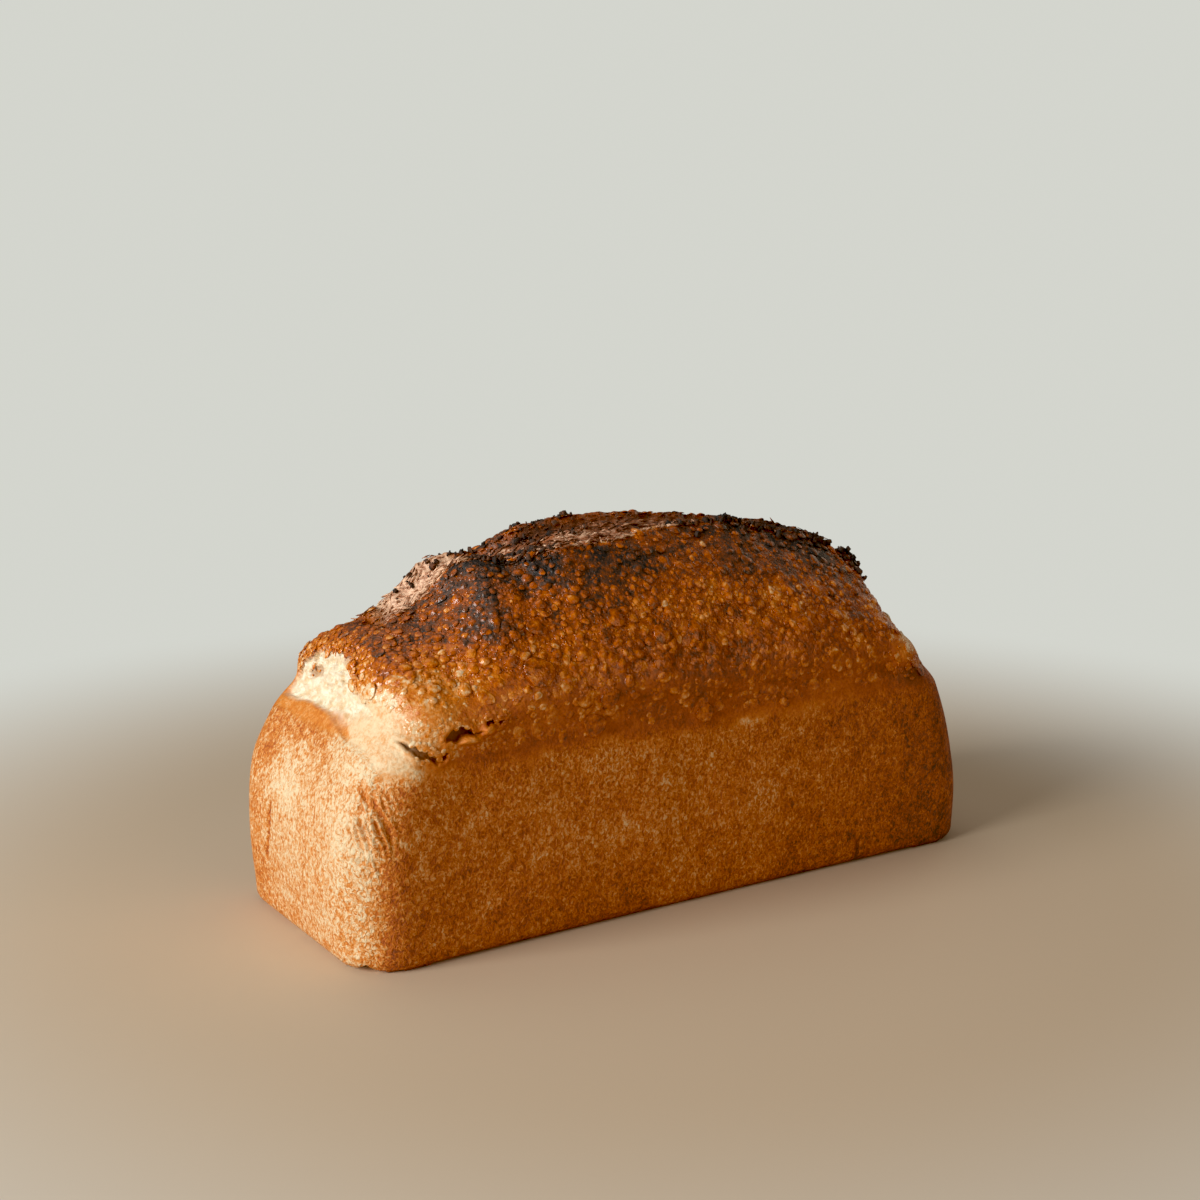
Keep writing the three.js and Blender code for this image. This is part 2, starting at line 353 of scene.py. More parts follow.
def skin_normal(p):
    """The way out of the plain loaf, from the slope of body() around each point."""
    reach = 0.4
    n = np.stack([body(*(p + d).T) - body(*(p - d).T) for d in np.eye(3) * reach], 1)
    return n / (np.linalg.norm(n, axis=1)[:, None] + 1e-9)


def split_cells(chosen, cuts):
    """Cut the chosen faces of the crust finer, still on the unit cube."""
    bpy.ops.object.mode_set(mode="EDIT")
    bpy.ops.mesh.select_mode(type="FACE")
    bpy.ops.mesh.select_all(action="DESELECT")
    bpy.ops.object.mode_set(mode="OBJECT")
    crust.data.polygons.foreach_set("select", chosen)
    bpy.ops.object.mode_set(mode="EDIT")
    bpy.ops.mesh.subdivide(number_cuts=cuts)
    bpy.ops.object.mode_set(mode="OBJECT")


def face_middles():
    """Where the middle of each face lands on the loaf: three rows, x, y and z."""
    on_loaf = on_skin(read_points(crust))
    return np.array([on_loaf[list(f.vertices)].mean(0) for f in crust.data.polygons]).T


x, y, z = face_middles()
end_tear = (x < -100) & (z > 66) & (z < 94) & (y > -32) & (y < 36)
split_cells(end_tear, 1)
x, y, z = face_middles()
tears = (y < -40) & (x > -108) & (x < -72) & (z > 62) & (z < 77)
slit = (y < -40) & (abs(x + 41) < 6) & (abs(z - 78) < 8)
lip_edge = (abs(y - curve(LIP, x)) < 1.2) & (z > 90) & (x > -88) & (x < 80)
wrinkles = (x < -109) & (y < -33) & (z > 32) & (z < 60)
split_cells(tears | slit | lip_edge | wrinkles, 2)
skin = on_skin(read_points(crust))
out = skin_normal(skin)
print("crust now", sum(len(f.vertices) - 2 for f in crust.data.polygons), "triangles")
print("skin spans", skin.min(0).round(1), skin.max(0).round(1), "mm")

# %% [markdown]
# Now the relief. The front edge of the score curled up as the loaf sprang, the
# dough behind it tore into strings, and the crest burnt to crags. At the left
# end the crust lifted off and left torn dough with a hole under a flap.

# %% Relief of the crust
def to_path(a, b, path):
    """Distance from (a, b) to a path of (a, b, half width), less the width."""
    best = np.full(len(a), 1e9)
    for (a0, b0, w0), (a1, b1, w1) in zip(path, path[1:]):
        da, db = a1 - a0, b1 - b0
        t = np.clip(((a - a0) * da + (b - b0) * db) / (da * da + db * db), 0, 1)
        best = np.minimum(best, np.hypot(a - a0 - t * da, b - b0 - t * db) - (w0 + (w1 - w0) * t))
    return best


def in_outline(a, b, outline):
    """Signed distance to a closed outline, negative inside."""
    best, inside = np.full(len(a), 1e9), np.zeros(len(a), bool)
    for (a0, b0), (a1, b1) in zip(outline, outline[1:] + outline[:1]):
        da, db = a1 - a0, b1 - b0
        t = np.clip(((a - a0) * da + (b - b0) * db) / (da * da + db * db), 0, 1)
        best = np.minimum(best, np.hypot(a - a0 - t * da, b - b0 - t * db))
        cross = (b0 > b) != (b1 > b)
        inside ^= cross & (a < (a1 - a0) * (b - b0) / (b1 - b0 + 1e-12) + a0)
    return np.where(inside, -best, best)


# the last value of each tear is how dark the painted shade inside it is
TEARS = [  # outlines on the long front (x, z), depth, darkness
    ([(-107.0, 71.4), (-105, 70.6), (-103.7, 69.9), (-101.8, 69.3), (-99.5, 68.0), (-97.9, 66.6),
      (-96.2, 65.4), (-94.0, 67.0), (-93.2, 66.6), (-95.1, 64.3), (-96.9, 64.1), (-99.0, 65.4),
      (-102.2, 66.2), (-104.2, 68.1), (-105.9, 69.7)], 2.2, 0.68),
    ([(-93.8, 71.4), (-92.2, 72.8), (-90.2, 73.7), (-87.9, 74.2), (-85.8, 73.5), (-83.8, 71.6),
      (-81.4, 71.5), (-83.6, 70.6), (-86.1, 71.5), (-88.0, 71.2), (-89.3, 69.7), (-90.4, 69.5),
      (-91.8, 70.5), (-93.6, 70.4)], 2.4, 0.8),
    ([(-79.9, 73.3), (-79.6, 74.7), (-78.4, 75.3), (-77.0, 74.6), (-75.7, 73.9), (-74.3, 74.9),
      (-74.3, 74.0), (-75.6, 73.1), (-77.1, 73.7), (-78.4, 74.3), (-79.1, 73.6)], 1.6, 0.9),
    ([(-45.0, 83.7), (-41.4, 79.2), (-36.9, 72.2), (-37.2, 72.1), (-41.9, 78.9)], 1.1, 0.8),
    ([(69.8, -1), (70.6, 4.5), (71.5, 8.2), (72.0, 5.0), (72.3, -1)], 1.6, 1.0),
]
# the torn left end, as seen from the left: outlines (y, z), lines (y, z, half width)
TORN_END = [(35, 71), (35, 76), (26.5, 80), (22, 84.5), (14, 88.8), (5, 91), (-2, 91.3),
            (-8.4, 89), (-12, 86.5), (-15, 82), (-22.6, 80.4), (-27.5, 76.5), (-22, 74.3),
            (-15.5, 71.6), (-13.5, 70.6), (-2.7, 71.9), (8, 72.2), (17, 72.2), (23, 71)]
MOUTH = [(20.4, 78.6), (20.8, 80.8), (18.3, 82.8), (13.7, 84.2), (9.6, 83.8), (10.2, 81.2),
         (15.7, 80.1)]
CREASE = [(2, 71.4, 0.6), (-7.2, 71.5, 0.9), (-13.5, 70.5, 0.9), (-18.0, 69.2, 0.5),
          (-22, 68.2, 0.2)]
END_SLIT = [(16.6, 39.5, 0.2), (16.9, 35.5, 0.5), (17.8, 29.0, 0.5), (20.8, 20.5, 0.2)]
# curled crust under the tears: (x, z, half length, half height, rise)
LUMPS = [(-85.4, 69.8, 4.6, 1.5, 2.1), (-79.4, 72.0, 3.0, 1.9, 1.8), (-92.4, 70.0, 2.2, 1.0, 0.5)]
# pits low on the long front (x, z)
PITS = [(-115.4, 19.2), (-117.2, 7.8), (-117.7, 4.0), (-122.3, 8.3), (-98.1, 13.0), (-120.9, 36)]


def relief(p):
    """How far the crust stands out, in mm, and the marks that colour it."""
    x, y, z = p.T
    d = np.zeros(len(x))
    mark = {}
    on_top = smooth((z - 84) / 8)
    along = smooth((x + 98) / 10) * smooth((97 - x) / 10)
    across = y - curve(LIP, x) + 0.9 * noise(x, 0, 0, 3.4, 1) + 0.5 * noise(x, 0, 0, 1.3, 2)

    # score: curled front lip, torn strings in the gap, lower back lip
    lip_up = LIP_RISE * (0.72 + 0.4 * noise(x, 0, 0, 9, 3))
    d += on_top * along * lip_up * np.where(across < 0, bell(across, 6), bell(across, 0.7))
    gap = smooth(across / 1.2) * (1 - smooth((across - GAP_WIDTH + 2) / 4))
    strings = wiggle(x * 0.3 + 0.3 * y, y, z, 2.2, 4) * 1.5
    strings = strings + wiggle(x * 0.5 - 0.2 * y, y, z, 1.2, 5) * 0.7
    d += on_top * along * gap * (-GAP_DEPTH - 1.0 + strings + 1.3 * noise(x, y, z, 7, 6))
    d += on_top * along * 0.9 * bell(across - GAP_WIDTH - 1.5, 3) * (1 + 0.8 * noise(x, 3, 0, 4, 7))
    wide = GAP_WIDTH + 15 * smooth((-58 - x) / 14)
    from_lip = across + 2.2 * smooth((-56 - x) / 12)
    torn = on_top * along * smooth((x + 93) / 13) * smooth(from_lip / 1.2)
    torn = torn * (1 - smooth((across - wide + 2) / 4))
    d += (torn - on_top * along * gap) * (0.6 * strings - 0.4 + 0.6 * noise(x, y, z, 3.4, 24))
    mark["torn"] = torn
    mark["lip"] = on_top * along * bell(across + 0.3, 1.0)

    # burnt crags standing on the crest
    right_crags = smooth((x - 12) / 18) * smooth((99 - x) / 6) * bell(across - 5, 7)
    left_crags = smooth((x + 47) / 7) * smooth((-26 - x) / 8) * bell(across - 17, 5)
    crags = on_top * (right_crags + 0.8 * left_crags)
    d += crags * (-0.3 + 1.6 * rough(x, y, z, 3.0, 8, 3))
    mark["crag"] = np.clip(crags, 0, 1)

    # the dome's crust hangs a little over the tin wall
    wall = smooth((np.abs(y) - 30) / 10) * smooth((118 - np.abs(x)) / 16)
    edge = 74 + 4 * noise(x, y * 0.2, 7, 24, 9)
    d += wall * (0.6 * bell(z - edge - 4, 5) - 0.3 * bell(z - edge + 3.5, 5))

    # right end: fuller just over the tin, drawn in above
    drawn_in = 1.8 * smooth((z - 82) / 6) * (1 - 0.9 * smooth((z - 96) / 5))
    d += smooth((x - 82) / 10) * (2.6 * bell(z - 73, 7) - drawn_in)

    # left end: the crust lifted like a flap, torn dough below, a hollow under it
    at_left = smooth((-96 - x) / 8)
    flap = at_left * smooth((y + 20) / 10)
    d += flap * (0.3 * bell(z - 85, 4) - 0.9 * bell(z - 75, 4))
    wander = 1.1 * noise(y, z, 0, 3.2, 10) + 0.6 * noise(y, z, 0, 1.2, 11)
    tear = in_outline(y, z, TORN_END) + wander * smooth((z - 71) / 6)
    soft = 0.7 + 5.5 * smooth((1 - y) / 8) * smooth((92 - z) / 5) + 2.0 * smooth((74 - z) / 3)
    torn_end = at_left * smooth(0.3 - tear / soft)
    dough_folds = -1.9 + 1.1 * rough(x, y, z, 5, 12, 2) + 1.1 * wiggle(x, y, z, 2.4, 19)
    d += torn_end * (dough_folds - 0.5 * wiggle(x, y, z, 1.1, 23))
    rim = at_left * bell(tear - 0.9, 1.0) * smooth((z - 73) / 5)
    d += rim * smooth((z - 80) / 6) * (0.4 + 0.7 * noise(x, y, z, 1.6, 20))
    mouth = at_left * smooth(0.55 - (in_outline(y, z, MOUTH) + 0.4 * wander) / 1.8)
    d -= 2.0 * mouth
    crease = at_left * bell(np.maximum(to_path(y, z, CREASE), 0), 0.8)
    d += crease * (0.9 * smooth((70.5 - z + 0.25 * (y + 10)) / 1.2) - 0.7)
    # painted shade in the hollow under the flap: less dough colour there, and a dark tone in the
    # finish
    mark["dough"] = torn_end * (1 - 0.35 * mouth)
    mark["mouth"] = mouth
    mark["rim"] = rim * (1 - torn_end) * smooth((z - 80) / 5)
    mark["crease"] = crease
    slit_line = np.where(x < -110, bell(np.maximum(to_path(y, z, END_SLIT), 0), 0.5), 0)
    d -= 1.2 * slit_line
    d += np.where(x < -110, 0.7 * bell(z - 4, 3) * bell(y - 22, 12), 0)

    # tears on the long front, each with a raised upper lip, curled crust below and painted shade
    # inside
    front = y < -30
    fx, fz = x + 0.25 * noise(x, z, 0, 1.6, 13), z + 0.25 * noise(x, z, 5, 1.6, 14)
    hole = np.zeros(len(x))
    for outline, depth, inner_shade in TEARS:
        s = in_outline(fx, fz, outline)
        cut = np.where(front, smooth(0.35 - s / 0.5), 0)
        d -= depth * cut
        d += np.where(front & (depth > 1.5) & (z > 20), 0.5 * bell(s - 0.9, 0.9) * (1 - cut), 0)
        hole = np.maximum(hole, inner_shade * cut)
    lumps = np.zeros(len(x))
    for bx, bz, rx, rz, h in LUMPS:
        lump = np.where(front, smooth(1.2 - np.hypot((x - bx) / rx, (z - bz) / rz)), 0)
        d += h * lump * (1 - hole)
        lumps = np.maximum(lumps, lump)
    mark["hole"], mark["lump"] = hole, lumps * (1 - hole)

    # wrinkles down the near corner, a soft bulge above them, and pits
    corner = bell(x + 117, 4.5) * smooth((-36 - y) / 4) * bell(z - 47, 10)
    folds = wiggle(1.2 * x + 0.3 * z, 1.2 * y - 0.3 * z, z * 0.36, 2.4, 15)
    d += corner * (2.1 * folds - 1.2)
    bulge = bell(z - 65 - 1.5 * noise(x, y, 0, 6, 21), 4)
    d += 0.8 * smooth((-101 - x) / 4) * smooth((-16 - y) / 8) * bulge
    for pit_x, pit_z in PITS:
        d -= np.where(front, 0.9 * bell(np.hypot(x - pit_x, z - pit_z), 0.8), 0)
    # painted shade: this marks the fold hollows, which are darkened in colour
    mark["wrinkle"] = corner * smooth((0.62 - folds) / 0.3)
    mark["slit"] = slit_line
    above_tin = z - 58 - 11 * smooth((-112 - x) / 5) + 3 * noise(x, y, z, 8, 22)
    mark["tin"] = 1 - smooth(above_tin / 7)

    # uneven crust: coarse everywhere, knobbly on the dome
    skin_on = 1 - mark["torn"]
    d += 0.45 * noise(x, y, z, 17, 16)
    dome = smooth((z - 72) / 14)
    knobs = 0.55 * noise(x, y, z, 6.5, 17) + 0.28 * noise(x, y, z, 2.6, 18)
    d += dome * skin_on * (1 - torn_end) * knobs
    mark["dome"] = dome * skin_on * (1 - torn_end)
    return d * smooth(z / 5), mark


rise, marks = relief(skin)
print("relief from", round(rise.min(), 1), "to", round(rise.max(), 1), "mm")

# %% [markdown]
# Blisters are small gas bubbles under the skin of the dome. We scatter them by
# a seeded draw on the grid points, keep them apart, and give each a size. The
# crust swells a little under the larger ones, and each gets its own small dome
# on top later. A kind says how it browned: pale, a pale ring, or flat and broad.

# %% Scatter the blisters
draw = np.random.default_rng(12)
# the biggest on the long front, one by one: (x, z, radius, height, kind)
LARGE = [(-60, 87, 4.9, 0.9, "ring"), (-41, 68, 4.0, 0.7, "ring"), (-12, 93, 3.3, 1.2, ""),
         (1, 93, 3.2, 1.3, ""), (-15, 85, 3.6, 0.7, "ring"), (-36, 76, 3.6, 0.6, "ring"),
         (-27, 76, 2.0, 0.6, "ring"), (-29, 81, 2.3, 0.9, "pale"), (-43, 90, 2.5, 1.0, "pale"),
         (-48, 87, 1.9, 0.8, "pale"), (-50, 83, 1.9, 0.7, ""), (-62, 80, 1.6, 0.8, "pale"),
         (-65, 82, 1.6, 0.8, "pale"), (-9, 90, 2.2, 0.8, "pale"), (2, 66, 3.6, 0.5, ""),
         (36, 64, 1.9, 0.5, ""), (45, 95, 2.0, 0.9, ""), (32, 92, 2.3, 1.0, ""),
         (46, 89, 3.2, 1.0, ""), (17, 97, 1.6, 0.9, "pale"), (26, 96, 1.9, 0.9, "pale"),
         (-22, 96, 1.7, 0.8, ""), (18, 114, 2.5, 1.0, ""), (-10, 118, 1.9, 0.9, ""),
         (-5, 117, 1.9, 0.9, ""), (41, 107, 1.7, 0.8, ""), (54, 86, 1.6, 0.8, "pale"),
         (51, 92, 1.9, 0.8, ""), (63, 91, 2.6, 0.9, ""), (-108, 83, 2.9, 1.1, ""),
         (-90, 91, 2.3, 1.0, ""), (-82, 90, 1.7, 0.9, "pale"), (-75, 91, 1.7, 0.9, "pale"),
         (-103, 87, 2.0, 1.0, "pale"), (-98, 90, 2.0, 1.0, ""), (-84, 84, 2.3, 1.0, "pale"),
         (-93, 85, 2.3, 1.0, "pale"), (-51, 116, 2.6, 1.2, ""), (-56, 99, 3.3, 1.1, ""),
         (-28, 99, 3.2, 1.2, ""), (-64, 98, 1.9, 0.9, "pale"), (-68, 102, 2.2, 0.9, ""),
         (-83, 101, 1.9, 0.9, ""), (-42, 95, 1.8, 0.9, "pale")]
# the rest: smallest and largest radius, and how many
BLISTER_SIZES = [(1.6, 2.3, 120), (1.05, 1.6, 650), (0.75, 1.05, 1500), (0.42, 0.75, 3400)]
MOST_TRIES, EDGE_TRIES, FLAT_TRIES = 26000, 1500, 3200
BUCKET = 5  # mm


def blister_zone(p):
    """How crowded the blisters are, 0 to 1."""
    x, y, z = p.T
    start = curve([(-125, 78), (-90, 78), (-50, 82), (0, 86), (40, 85), (80, 80), (125, 74)], x)
    clumps = 0.75 + 0.5 * noise(x, y, z, 14, 31)
    zone = smooth((z - start) / 12) * clumps
    for name, share in (("torn", 1), ("dough", 1), ("hole", 1), ("crag", 0.7), ("lip", 1)):
        zone = zone * (1 - share * marks[name])
    return zone


crowd = np.clip(blister_zone(skin), 0, 1)
placed, buckets = [], {}


def try_place(n, r, height, kind, apart=0.8):
    """Put a blister on grid point n, unless another one is too near."""
    p = skin[n]
    key = tuple((p // BUCKET).astype(int))
    for step in product((-1, 0, 1), repeat=3):
        for q, rq in buckets.get(tuple(k + s for k, s in zip(key, step)), ()):
            if np.sum((p - q) ** 2) < (apart * (r + rq)) ** 2:
                return False
    buckets.setdefault(key, []).append((p, r))
    placed.append((n, r, height, kind))
    return True


front_points = np.nonzero(skin[:, 1] < -5)[0]
for x, z, r, height, kind in LARGE:
    height *= 0.65 if r < 3 else 0.5
    n = front_points[np.argmin((skin[front_points, 0] - x) ** 2 + (skin[front_points, 2] - z) ** 2)]
    try_place(n, r, height, kind)
GOLD_EDGE = [(-125, 86), (-107, 89), (-86, 92), (-69, 96), (-51, 93), (-29, 92), (0, 87),
             (25, 87), (54, 89), (75, 82), (100, 72), (125, 66)]
near_edge = bell(skin[:, 2] - curve(GOLD_EDGE, skin[:, 0]) + 3, 5)
near_edge *= (crowd > 0.02) * (np.abs(skin[:, 1]) > 15)
for n in draw.choice(len(skin), EDGE_TRIES, p=near_edge / near_edge.sum(), replace=False):
    r = draw.uniform(0.9, 2.0)
    height = r * draw.uniform(0.16, 0.3)
    try_place(n, r, height, draw.choice(["", "pale", "ring"], p=[0.4, 0.4, 0.2]))
for low, high, wanted in BLISTER_SIZES:
    count = min(wanted * 6, MOST_TRIES)
    made = 0
    for n in draw.choice(len(skin), count, p=crowd / crowd.sum(), replace=False):
        r = draw.uniform(low, high)
        if made < wanted:
            height = r * draw.uniform(0.2, 0.38)
            made += try_place(n, r, height, draw.choice(["", "pale"], p=[0.66, 0.34]))
x, y, z = skin.T
side = np.nonzero((np.abs(y) > 40) & (z > 65) & (z < 92) & (x > -104) & (x < 112))[0]
for n in draw.choice(side, FLAT_TRIES, replace=False):
    broad = 2.6 if x[n] > -72 or z[n] > 80 else 0.3
    r = 0.9 + broad * draw.random() ** 2
    if marks["hole"][n] < 0.01 and marks["lump"][n] < 0.01 and marks["dough"][n] < 0.1:
        try_place(n, r, draw.uniform(0.15, 0.3) * (0.6 + 0.3 * r), "flat", 0.55)
print(len(placed), "blisters")

# %% [markdown]
# The skin swells round each larger blister. Then the points move out along the
# plain skin's normal, the base is set flat and the loaf is put in the middle.

# %% Raise the crust
SWELL_REACH, SWELL_RISE = 1.7, 0.22  # times the blister's radius
BASE_BELOW = 0.5  # mm

tree = KDTree(len(skin))
for n, p in enumerate(skin):
    tree.insert(Vector(p), n)
tree.balance()
swell = np.zeros(len(skin))
for n, r, height, kind in placed:
    if r > 1.0 and kind != "flat":
        for _, k, gap in tree.find_range(Vector(skin[n]), r * SWELL_REACH):
            near = float(smooth(np.array(1 - gap / (r * SWELL_REACH))))
            swell[k] = max(swell[k], SWELL_RISE * r * near)
points = skin + out * (rise + swell)[:, None]
low = skin[:, 2] < BASE_BELOW
points[low | (points[:, 2] < 0), 2] = 0.0
middle = (points.min(0) + points.max(0)) / 2
points[:, :2] -= middle[:2]
write_points(crust, points * MM)
print("crust spans", points.min(0).round(1), points.max(0).round(1), "mm")

# %% [markdown]
# How far each place has baked decides its colour: 0 is pale dough, 1 is char. The tin wall is
# darker towards its base and its right end, the near left corner stayed pale, the dome browned
# towards its crest, and the crest burnt. The value also holds painted light and shade. Part of the
# lamp-facing left end's paleness beside the long front is painted light, and a painted rim light
# pales the right flank. Painted shade darkens the wrinkle hollows, the skin among crowded blisters
# and the hollow under the flap. The value is stored on the points, and so are the marks that the
# finish needs, among them the painted shade inside the tears.

# %% How far each place has baked
OLIVE_SPOTS = [(-108.3, 35, 3), (-101, 24, 2.2), (-107, 21.7, 1.8), (-87, 30, 2), (-94.5, 25.4, 2)]
STRING_BAKE = [(-100, 0.04), (-78, 0.04), (-64, 0.08), (-52, 0.30), (-40, 0.64), (-24, 0.55),
               (5, 0.56), (25, 0.66), (45, 0.90), (100, 0.95)]


def spot(a, b, a0, b0, ra, rb):
    """1 in the middle of an oval, 0 outside it."""
    return smooth(1.3 - np.hypot((a - a0) / ra, (b - b0) / rb))


def baked_and_shaded(p):
    """How far the crust baked at each point, from its place and marks, plus painted light and
    shade.
    """
    x, y, z = p.T
    # edge: the height where the golden zone ends and the dark top begins
    edge = curve(GOLD_EDGE, x) + 1.5 - 5.0 * smooth((-58 - x) / 12)
    edge = edge + 3.5 * noise(x, y, z, 15, 40) + 2 * noise(x, y, z, 5, 41)
    wall = 0.43 + 0.06 * noise(x, y, z, 14, 42) + 0.18 * smooth((x - 20) / 100)
    wall += 0.07 * smooth((34 - z) / 34)
    wall += 0.06 * noise(x, y, z, 4.5, 56) + 0.06 * noise(x, y, z, 2.8, 59)
    wall += 0.10 * smooth((2.5 - z) / 2.5)
    # the left end: paler, partly painted light; redder to the far side, a pale crescent, pink
    # smooth patches
    end = 0.21 + 0.05 * noise(x, y, z, 12, 43) + 0.12 * smooth((y - 8) / 22)
    end += 0.05 * smooth((30 - z) / 30)
    crescent = spot(y, z, 9, 43, 14, 9) * (1 - spot(y, z, 14, 38, 12, 9)) * smooth((z - 40) / 4)
    end -= 0.14 * crescent
    pink = np.maximum(spot(y, z, 13, 66.5, 10, 4.5), spot(y, z, -5, 63.5, 5, 4))
    end += 0.12 * np.maximum(pink, spot(y, z, 25, 55, 4, 4))
    # painted light: the lamp-lit end takes the paler colour, the shaded long front the deeper
    # orange
    lit_left_end = smooth((-112 - x) / 9)
    wall = wall * (1 - lit_left_end) + end * lit_left_end
    corner = smooth((-100 - x) / 12) * smooth((-24 - y) / 14)
    wall -= 0.07 * corner * smooth((z - 24) / 18) * (1 - 0.8 * smooth((-43 - y) / 4))
    # painted shade darkens the hollows between the corner's wrinkles; the end's slit is darker too
    wall += 0.35 * marks["slit"] + 0.20 * marks["wrinkle"]
    wall -= 0.20 * smooth((-100 - x) / 5) * smooth((-14 - y) / 8) * bell(z - 65, 5)
    # the dome: golden low down, redder just above the tin, dark on top
    band = 0.60 - 0.05 * smooth((-60 - x) / 30) + 0.05 * noise(x, y, z, 9, 44)
    band += 0.03 * smooth((x - 40) / 40)
    pale = 0.345 + 0.20 * smooth((x + 98) / 30) + 0.10 * smooth((x + 62) / 60)
    pale += 0.05 * noise(x, y, z, 8, 45)
    low_dome = pale + (band - pale) * smooth((72 - z) / 8) * smooth((x + 102) / 14)
    top = 0.585 - 0.02 * smooth((x + 30) / 20) + 0.13 * smooth((z - edge - 8) / 18)
    top += 0.09 * smooth((x - 25) / 30) * smooth((z - edge - 8) / 8)
    top += 0.16 * noise(x, y, z, 6, 46)
    top += 0.09 * noise(x, y, z, 2.6, 51)
    top += 0.13 * smooth((-40 - x) / 25) * smooth((z - edge) / 8) + 0.08 * noise(x, y, z, 14, 58)
    low_dome -= 0.19 * smooth((-100 - x) / 7) * smooth((-8 - y) / 8) * smooth((87 - z) / 6)
    low_dome -= 0.05 * smooth((x - 30) / 30)
    # painted rim light: the right end and the flank above its tin are paler, as if lit from the
    # right and behind
    painted_rim_light = 0.05 * smooth((x - 98) / 8) * smooth((z - 66) / 6)
    low_dome += 0.14 * spot(x, z, 93, 67, 13, 8) - painted_rim_light
    dome = low_dome + (top - low_dome) * smooth((z - edge + 3) / 10)
    dome -= 0.31 * smooth((x - 80) / 16) * smooth((z - 68) / 6) * smooth((97 - z) / 8)
    value = wall + (dome - wall) * smooth((z - 60 - 2.5 * noise(x, y, z, 12, 47)) / 5)
    # small marks on the long front: olive spots, a pale flake, a scuff
    front = y < -30
    for sx, sz, r in OLIVE_SPOTS:
        value += np.where(front, 0.07 * spot(x, z, sx, sz, r, r), 0)
    flake = spot(x, z, -97.3, 9.2, 4.6, 5.2) * smooth(0.5 + 1.6 * noise(x, y, z, 1.8, 52))
    value -= np.where(front, 0.16 * flake, 0)
    scuff = spot(x - (z - 60.5) * 1.5, z, 23, 60.6, 10, 1.5)
    scuff = scuff * smooth(0.6 + 1.5 * noise(x * 0.4, y, z, 1, 53))
    value -= np.where(front, 0.19 * scuff, 0)
    # the crest and the score's front lip are burnt
    across = y - curve(LIP, x)
    burnt = smooth((x + 80) / 14) * bell(across + 5 - 4 * smooth((x - 5) / 20), 8)
    burnt = burnt * smooth((z - 84) / 8)
    patch = np.clip(0.75 + 0.8 * noise(x, y, z, 8, 48), 0, 1)
    how_burnt = 0.22 - 0.08 * smooth((x + 30) / 30) + 0.06 * smooth((x - 40) / 30)
    value += how_burnt * burnt * patch + 0.10 * burnt * noise(x, y, z, 3, 55)
    # painted shade: the skin is darker where blisters crowd, standing for the shaded gaps between
    # them
    value += 0.05 * crowd
    # the torn strings: light at the left, then brown, burnt to the right
    strings = curve(STRING_BAKE, x)
    strings += 0.22 * noise(x * 0.5, y, z, 5, 50) + 0.12 * smooth((across - 12) / 8)
    value += (strings - value) * marks["torn"]
    # thin browned edges: the score's lip, the flap of the left end, curled lumps
    value += ((0.24 - value) * marks["lip"] * smooth((x + 60) / 8) * smooth((75 - x) / 10)
              * smooth(1.3 + 1.2 * noise(x, 0, 0, 4, 57)))
    value += (0.44 + 0.16 * noise(x, y, z, 1.5, 54) - value) * np.clip(marks["rim"] * 1.2, 0, 1)
    value += (0.38 - value) * 0.8 * marks["crease"]
    # painted shade: the hollow under the flap takes a dull orange tone, darkened further in the
    # finish
    value += (0.30 - value) * marks["mouth"]
    value += (0.36 - value) * marks["lump"]
    return np.clip(value, 0, 1)


bake_and_shade = baked_and_shaded(skin)
bake_and_shade = np.maximum(bake_and_shade, marks["crag"] * np.clip(1.05 + 0.25 * noise(*skin.T, 3, 49), 0, 1))


def store(obj, name, values):
    layer = obj.data.attributes.new(name, "FLOAT", "POINT")
    layer.data.foreach_set("value", np.asarray(values, np.float32))


store(crust, "bake_and_shade", bake_and_shade)
store(crust, "torn", marks["torn"] * (1 - 0.8 * marks["crag"]))
store(crust, "dough", marks["dough"])
# painted shade inside the tears and the hollow under the flap
store(crust, "hole", np.maximum(marks["hole"], 0.42 * marks["mouth"]))
store(crust, "dome", marks["dome"])
store(crust, "tin", marks["tin"])
store(crust, "bubble", crowd)
print("bake from", round(float(bake_and_shade.min()), 2), "to", round(float(bake_and_shade.max()), 2))

# %% [markdown]
# Each blister is one small closed dome, longer one way than the other, set on
# the skin and turned to face out. We model a template for each of three sizes,
# with fewer faces the smaller it is, and copy its points.

# %% Blister domes
LARGE_FROM, SMALL_FROM = 1.2, 0.75  # mm radius
LEAST_BAKED = 0.18
PALER = {"pale": 0.30, "": 0.21, "ring": 0.08, "flat": 0.20}  # than the skin, by kind
FULL_TURN = 6.28


def scattered_marks(bake_and_shade, torn=0.0, dome=0.0):
    """The values that the finish reads on a scattered piece."""
    return {"bake_and_shade": bake_and_shade, "torn": torn, "dough": 0.0, "hole": 0.0, "dome": dome, "bubble": 0.0}


